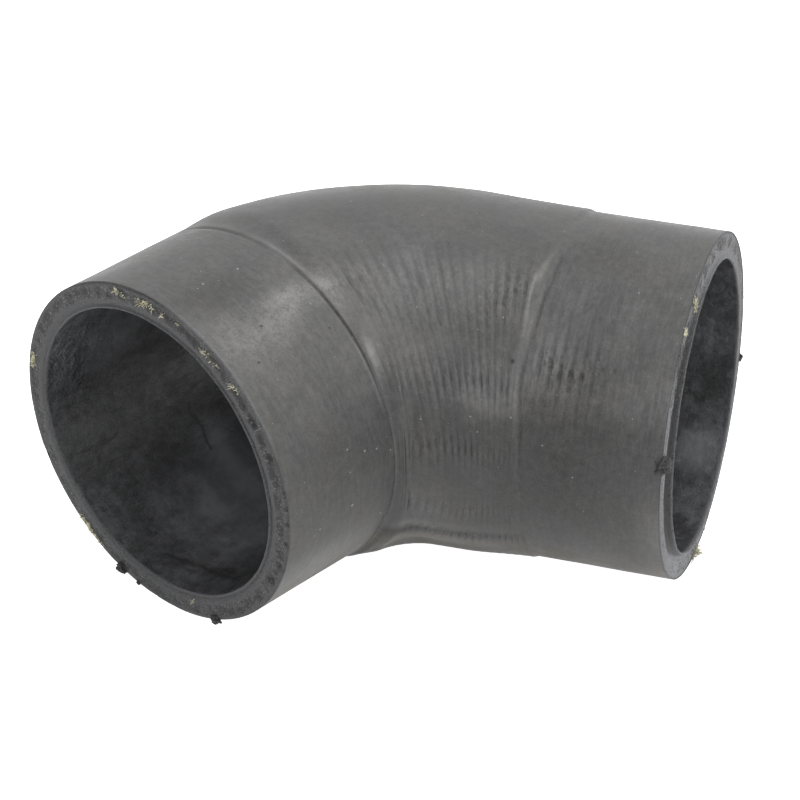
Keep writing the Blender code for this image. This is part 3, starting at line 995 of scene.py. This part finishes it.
def satin_rubber():
    """The moulded skin: satin, with grey bloom, cord lines, dust and a few specks and pin holes, and painted
    light and shade in its colour.
    """
    material, tree, shader = principled("satin_rubber", 0.5)
    place = blank_place(tree)
    spot = own_place(tree)
    bloom = placed_group(tree, BLOOM, {"Place": spot, "Clouds": 0.09, "Mottle": 0.9})["Mask"]
    streaks = placed_group(tree, STREAKS, {"Place": place, "Along": 1.1, "Around": 7.0})
    grain = placed_group(tree, GRAIN, {"Place": spot, "Scale": 2.6})["Height"]
    cord = placed_group(tree, CORD, {
        "Place": spot, "Turns": attribute(tree, "cord_turns"), "Show": attribute(tree, "cord_show"),
    })["Height"]
    white = placed_group(tree, SPECKS, {"Place": spot, "Scale": 0.6, "Size": 0.11, "Rarity": 0.74})["Mask"]
    holes = placed_group(tree, SPECKS, {"Place": spot, "Scale": 0.16, "Size": 0.05, "Rarity": 0.7})["Mask"]
    pits = [placed_group(tree, PIT_ROW, {"Place": place, "Angle": deg(at), "Middle": middle})["Mask"]
            for at, middle in PIT_ROWS]
    dots = skin_spots(tree, place, PIN_DOTS)
    specks = skin_spots(tree, place, LIGHT_SPECKS)
    colour = blended(tree, bloom, SKIN_DARK, SKIN_GREY)
    parts = node(tree, "SeparateXYZ", {"Vector": place}).outputs
    on_wide_cuff = ramp(tree, parts["X"], *WIDE_STREAKS_FADE, 1.0, 0.0)
    on_cuffs = math_of(tree, "ADD", on_wide_cuff, ramp(tree, parts["X"], *NARROW_STREAKS_FADE))
    streaked = times(tree, streaks["Mask"], on_cuffs)
    colour = blended(tree, times(tree, streaked, 0.3), colour, grey(0.08, 0.01))
    # The cord ridges painted lighter on their crests and darker in their troughs as painted shading, on top
    # of the painted light and shade of the tone attribute
    shade = math_of(tree, "MULTIPLY_ADD", cord, 0.36, attribute(tree, "tone_and_painted_light"))
    shade = math_of(tree, "MULTIPLY_ADD", math_of(tree, "SUBTRACT", grain, 0.5), 1.7, shade)
    # Rows of pits painted darker, as painted shade in them
    shade = math_of(tree, "MULTIPLY_ADD", strongest(tree, pits), -0.45, shade)
    colour = toned(tree, colour, shade)
    cast = placed_group(tree, CAST, {"Place": spot, "Clouds": 0.06})["Mask"]
    colour = blended(tree, cast, colour, joined(tree, "MULTIPLY", colour, (1.005, 1.0, 0.95)))
    low = ramp(tree, parts["Z"], *LOW_SKIN, 1.0, 0.0)
    colour = blended(tree, low, colour, joined(tree, "MULTIPLY", colour, (1.08, 1.0, 0.83)))
    mottled = times(tree, ramp(tree, bloom, 0.0, 1.0, 0.5, 1.1), ramp(tree, grain, 0.38, 0.56, 0.45, 1.05))
    thick = times(tree, attribute(tree, "dust_and_light"), mottled)
    colour = blended(tree, thick, colour, DUST)
    colour = blended(tree, strongest(tree, [white, *specks]), colour, SPECK)
    # The pin holes and dark dots painted near black, as painted shade in them
    colour = blended(tree, strongest(tree, [holes, *dots]), colour, grey(0.010))
    tree.links.new(colour, shader.inputs["Base Color"])
    tree.links.new(ramp(tree, bloom, 0.0, 1.0, 0.42, 0.55), shader.inputs["Roughness"])
    lines = times(tree, times(tree, streaks["Height"], on_cuffs), 0.5)
    height = math_of(tree, "MULTIPLY_ADD", grain, 0.6, lines)
    height = math_of(tree, "MULTIPLY_ADD", cord, 0.8, height)
    bumped(tree, shader, height, 0.10 * MM)
    return material


def cut_rubber():
    """The knife-cut wall: matt, bluish and pitted, with lighter torn cord in the plies, and painted light and
    shade in its colour.
    """
    material, tree, shader = principled("cut_rubber", 0.6)
    place = blank_place(tree)
    cut = placed_group(tree, KNIFE_CUT, {
        "Place": place, "Share": attribute(tree, "wall_share"), "Torn": attribute(tree, "dust_and_light"),
    })
    colour = blended(tree, cut["Drag"], CUT_DARK, CUT_GREY)
    colour = toned(tree, colour, attribute(tree, "tone_and_painted_light"))
    colour = blended(tree, times(tree, cut["Crumbs"], 0.7), colour, TORN_CORD)
    # The pits and slits painted near black, as painted shade in them
    colour = blended(tree, cut["Pits"], colour, grey(0.007))
    tree.links.new(colour, shader.inputs["Base Color"])
    bumped(tree, shader, cut["Height"], 0.25 * MM)
    return material


# Dark scratches in the wide bore, from (mm along, degrees) to (mm along, degrees), and their width in mm
BORE_SCRATCHES = (
    ((36.6, 328.0), (37.6, 319.0), 0.45),
    ((37.6, 319.0), (37.0, 309.0), 0.45),
    ((3.5, 331.0), (17.0, 330.5), 0.5),
    ((6.8, 280.5), (9.8, 265.5), 1.1),
    ((9.8, 265.5), (8.5, 243.5), 1.2),
    ((15.5, 341.0), (22.5, 337.0), 0.4),
    ((3.0, 40.0), (5.5, 62.0), 0.8),
)


def bore_rubber():
    """The bore: darker, faintly blue, smeared and creased by its mandrel, with painted light and shade in its
    colour.
    """
    material, tree, shader = principled("bore_rubber", 0.5)
    place = blank_place(tree)
    smear = placed_group(tree, BLOOM, {"Place": place, "Clouds": 0.08, "Mottle": 0.4})["Mask"]
    streaks = placed_group(tree, STREAKS, {"Place": place, "Along": 0.5, "Around": 4.0})
    grain = placed_group(tree, GRAIN, {"Place": place, "Scale": 2.2})["Height"]
    crinkle = placed_group(tree, CRINKLE, {"Place": place, "Scale": 0.32})
    crinkled = attribute(tree, "cord_show")
    scratches = [
        placed_group(tree, SCRATCH, {
            "Place": place, "Start": bore_spot(*start), "End": bore_spot(*end), "Width": width,
        })["Mask"]
        for start, end, width in BORE_SCRATCHES
    ]
    colour = blended(tree, smear, BORE_DARK, BORE_GREY)
    colour = blended(tree, times(tree, streaks["Mask"], 0.35), colour, grey(0.024))
    # In the bore the tone attribute is painted light and painted shade
    shade = math_of(tree, "MULTIPLY_ADD", math_of(tree, "SUBTRACT", grain, 0.5), 3.6, attribute(tree, "tone_and_painted_light"))
    veins = times(tree, crinkle["Mask"], crinkled)
    shade = math_of(tree, "MULTIPLY_ADD", veins, -0.6, shade)
    colour = toned(tree, colour, shade)
    # Patches of painted light in a dusty colour, broken up by the smear
    thick = times(tree, attribute(tree, "dust_and_light"), ramp(tree, smear, 0.0, 1.0, 0.35, 1.0))
    colour = blended(tree, thick, colour, BORE_PAINTED_LIGHT)
    colour = blended(tree, times(tree, strongest(tree, scratches), 0.55), colour, grey(0.009))
    tree.links.new(colour, shader.inputs["Base Color"])
    tree.links.new(ramp(tree, smear, 0.0, 1.0, 0.36, 0.55), shader.inputs["Roughness"])
    height = math_of(tree, "MULTIPLY_ADD", streaks["Height"], 0.6, times(tree, smear, 0.8))
    folds = times(tree, crinkle["Height"], crinkled)
    height = math_of(tree, "MULTIPLY_ADD", folds, 12.0, height)
    bumped(tree, shader, height, 0.14 * MM)
    return material


def frayed_cord():
    """Cream aramid cord, frayed and a little soiled with rubber."""
    material, tree, shader = principled("frayed_cord", 0.8)
    soil = noise_of(tree, own_place(tree), 0.9, 3.0, 0.6)
    colour = blended(tree, ramp(tree, soil, 0.42, 0.66), CORD_CREAM, CORD_SOILED)
    tree.links.new(colour, shader.inputs["Base Color"])
    return material


def crumb_rubber():
    """Crumbs of rubber that the knife left on the edges."""
    material, tree, shader = principled("crumb_rubber", 0.6)
    place = own_place(tree)
    grain = placed_group(tree, GRAIN, {"Place": place, "Scale": 2.4})["Height"]
    colour = blended(tree, ramp(tree, grain, 0.4, 0.65), grey(0.010), grey(0.035))
    tree.links.new(colour, shader.inputs["Base Color"])
    bumped(tree, shader, grain, 0.2 * MM)
    return material


def new_object(name, data):
    """An object with that data, linked into the scene."""
    made = bpy.data.objects.new(name, data)
    bpy.context.scene.collection.objects.link(made)
    return made


def make_hose():
    mesh = hose_mesh()
    cut = cut_rubber()
    for material in (satin_rubber(), cut, bore_rubber(), cut):
        mesh.materials.append(material)
    hose = new_object("moulded_hose", mesh)
    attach(hose, "root")
    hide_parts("hose")


def small_piece(name, mesh, material):
    """A small loose piece that rides with the hose."""
    mesh.materials.append(material)
    piece = new_object(name, mesh)
    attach(piece, "root")


def cut_frame(mouth, share, angle):
    """A place on a cut face, and its directions outward, round and across the wall, in the part's frame."""
    x, relief, outward = (0.0, wide_relief, -1.0) if mouth == "wide" else (LENGTH, narrow_relief, 1.0)

    def at(share_here, angle_here):
        px, py, pz = cut_point(np.full(1, x), share_here, np.full(1, angle_here), relief, outward)
        return Vector((bent(px, *settled(px, py, pz)) + BASE)[0])

    place = at(share, angle)
    round_way = (at(share, angle + 0.01) - at(share, angle - 0.01)).normalized()
    across = (at(share + 0.03, angle) - at(share - 0.03, angle)).normalized()
    out = round_way.cross(across).normalized()
    mouth_way = Vector((1.0, 0.0, 0.0))
    if mouth == "wide":
        mouth_way = Vector((-math.cos(BEND_ANGLE), -math.sin(BEND_ANGLE), 0.0))
    return place, out if out.dot(mouth_way) > 0.0 else -out, round_way, across


FIBRE_SIDES = 5


def fibre(verts, faces, points, radius):
    """A thin tapered thread through the points, with closed ends."""
    sides = FIBRE_SIDES
    start = len(verts)
    for i, point in enumerate(points):
        ahead = (points[min(i + 1, len(points) - 1)] - points[max(i - 1, 0)]).normalized()
        side = ahead.orthogonal().normalized()
        other = ahead.cross(side)
        size = radius * (1.0 - 0.75 * i / (len(points) - 1))
        for k in range(sides):
            turn = math.tau * k / sides
            verts.append(point + (side * math.cos(turn) + other * math.sin(turn)) * size)
    for i in range(len(points) - 1):
        for k in range(sides):
            j = (k + 1) % sides
            low, high = start + i * sides, start + (i + 1) * sides
            faces.append((low + k, low + j, high + j, high + k))
    faces.append(tuple(start + k for k in reversed(range(sides))))
    faces.append(tuple(start + (len(points) - 1) * sides + k for k in range(sides)))


# Frayed cord: share of the wall, degrees, how far it spreads round, threads, and their length in mm
TUFTS = {
    "wide": (
        (0.72, 76.5, 1.5, 30, 1.3), (0.62, 79.0, 1.0, 12, 1.1), (0.62, 86.5, 1.2, 34, 1.3),
        (0.66, 89.5, 1.3, 34, 1.4), (0.60, 92.5, 1.0, 14, 1.1), (0.63, 97.5, 1.0, 12, 1.1),
        (0.70, 103.5, 1.0, 10, 1.0), (0.61, 117.5, 1.4, 14, 1.4), (0.63, 121.5, 1.6, 14, 1.3),
        (0.70, 132.0, 1.6, 18, 1.5), (0.76, 11.0, 3.2, 90, 1.1), (0.82, 307.0, 5.0, 60, 1.5),
        (0.86, 301.0, 3.0, 16, 1.3), (0.40, 254.0, 1.4, 6, 2.2),
    ),
    "narrow": (
        (0.75, 112.0, 1.3, 60, 1.5), (0.40, 112.5, 1.3, 60, 1.5), (0.85, 124.0, 1.2, 40, 1.2),
        (0.92, 267.0, 2.0, 90, 3.4),
    ),
}


def make_tufts():
    random = np.random.default_rng(11)
    material = frayed_cord()
    for mouth in ("wide", "narrow"):
        verts, faces = [], []
        for share, at, spread, count, length in TUFTS[mouth]:
            lean = random.normal(0.0, 0.5)
            for _ in range(count):
                root_angle = deg(at) + random.normal(0.0, 0.5) * deg(spread)
                place, out, round_way, across = cut_frame(mouth, share + random.normal(0.0, 0.05), root_angle)
                way = (out * random.uniform(0.35, 0.8) + round_way * (lean + random.normal(0.0, 0.6))
                       + across * random.normal(0.1, 0.5)).normalized()
                curl = round_way * random.normal(0.0, 0.5) + across * random.normal(0.0, 0.5) - out * 0.5
                reach = length * MM * random.uniform(0.5, 1.1)
                points = [place - out * 0.15 * MM + way * reach * t + curl * reach * 0.5 * t * t
                          for t in (0.0, 0.3, 0.6, 1.0)]
                radius = random.uniform(0.09, 0.18) * MM
                for point in points:
                    point.z = max(point.z, radius)
                fibre(verts, faces, points, radius)
        mesh = bpy.data.meshes.new(f"{mouth}_frayed_cord")
        mesh.from_pydata(verts, [], faces)
        mesh.shade_smooth()
        small_piece(f"{mouth}_frayed_cord", mesh, material)


# Crumbs of rubber on the cut edges: share of the wall, degrees, size in mm, and stretch
CRUMBS = {
    "wide": (
        (0.95, 289.5, 1.15, 1.3), (0.97, 245.5, 1.1, 1.35), (0.95, 281.5, 0.5, 1.2),
    ),
    "narrow": (
        (0.93, 167.5, 1.9, 1.1), (0.98, 345.0, 0.95, 1.4), (1.0, 314.0, 0.4, 1.2),
        (1.0, 281.0, 0.45, 1.2), (0.98, 8.0, 0.4, 1.2),
    ),
}


def make_crumbs():
    material = crumb_rubber()
    index = 0
    for mouth in ("wide", "narrow"):
        crumbs = bmesh.new()
        for share, at, size_mm, stretch in CRUMBS[mouth]:
            size = size_mm * MM
            place, out, round_way, across = cut_frame(mouth, share, deg(at))
            frame_of = Matrix((round_way, across, out)).transposed()
            made = bmesh.ops.create_icosphere(crumbs, subdivisions=4, radius=1.0)["verts"]
            for vert in made:
                lump = 1.0 + 0.55 * noise.noise(vert.co * 1.5 + Vector((index * 3.1, 0.0, 0.0)))
                lump += 0.3 * noise.noise(vert.co * 4.5 + Vector((0.0, index * 2.7, 0.0)))
                shaped = Vector((vert.co.x * stretch, vert.co.y, vert.co.z * 0.85)) * lump * size
                vert.co = place + out * 0.2 * size + frame_of @ shaped
            index += 1
        mesh = bpy.data.meshes.new(f"{mouth}_crumbs")
        crumbs.to_mesh(mesh)
        crumbs.free()
        mesh.shade_smooth()
        small_piece(f"{mouth}_crumbs", mesh, material)


FLOOR_SHEEN = 0.62
FLOOR_REACH = 3.0
FLOOR_DROP = 0.05 * MM


def make_floor():
    mesh = bpy.data.meshes.new("table_top")
    reach = FLOOR_REACH
    corners = [(-reach, -reach, 0.0), (reach, -reach, 0.0), (reach, reach, 0.0), (-reach, reach, 0.0)]
    mesh.from_pydata(corners, [], [(0, 1, 2, 3)])
    floor = new_object("table_top", mesh)
    floor.location.z = -FLOOR_DROP
    material, tree, shader = principled("white_table", 0.9)
    shader.inputs["Base Color"].default_value = grey(0.8)
    shader.inputs["Emission Color"].default_value = grey(1.0)
    path = node(tree, "LightPath").outputs
    glow = math_of(tree, "MULTIPLY_ADD", path["Is Glossy Ray"], FLOOR_SHEEN, path["Is Camera Ray"])
    tree.links.new(glow, shader.inputs["Emission Strength"])
    mesh.materials.append(material)


# Camera, from the hose's own outline in the photograph
CAMERA_PLACE = Vector((217.6, -631.7, 472.1)) * MM
CAMERA_AZIMUTH = deg(18.35)
CAMERA_ELEVATION = deg(32.973)
CAMERA_ROLL = deg(-0.782)
CAMERA_LENS = 150.69


def make_camera():
    data = bpy.data.cameras.new("camera")
    data.lens = CAMERA_LENS
    data.sensor_width = 36.0
    camera = new_object("camera", data)
    level = math.cos(CAMERA_ELEVATION)
    forward = Vector((
        -math.sin(CAMERA_AZIMUTH) * level,
        math.cos(CAMERA_AZIMUTH) * level,
        -math.sin(CAMERA_ELEVATION),
    ))
    camera.location = CAMERA_PLACE
    camera.rotation_mode = "QUATERNION"
    camera.rotation_quaternion = forward.to_track_quat("-Z", "Y") @ Quaternion((0.0, 0.0, 1.0), CAMERA_ROLL)
    bpy.context.scene.camera = camera


# Studio light: an even glow, and soft glows that face each way, with their strengths
EVEN_GLOW = 0.57
GLOWS = (
    (Vector((0.0, 0.0, 1.0)), 1.04),
    (Vector((0.0, 1.0, 0.15)), 0.47),
    (Vector((1.0, 0.0, 0.25)), 0.77),
)


def make_light():
    """A white studio all round: plain white to the camera, and soft glows for what they light."""
    world = bpy.data.worlds.new("studio")
    world.use_nodes = True
    tree = world.node_tree
    way = node(tree, "TexCoord").outputs["Generated"]
    total = EVEN_GLOW
    for direction, strength in GLOWS:
        facing = node(tree, "VectorMath", {0: way, 1: direction.normalized()}, operation="DOT_PRODUCT")
        glow = ramp(tree, facing.outputs["Value"], 0.2, 0.95, 0.0, strength)
        total = math_of(tree, "ADD", glow, total)
    seen = node(tree, "LightPath").outputs["Is Camera Ray"]
    shown = math_of(tree, "MULTIPLY_ADD", seen, math_of(tree, "SUBTRACT", 1.0, total), total)
    backdrop = tree.nodes["Background"]
    backdrop.inputs["Color"].default_value = grey(1.0)
    tree.links.new(shown, backdrop.inputs["Strength"])
    bpy.context.scene.world = world


make_hose()
make_tufts()
make_crumbs()
make_floor()
make_camera()
make_light()
bpy.context.scene.view_settings.view_transform = "Standard"
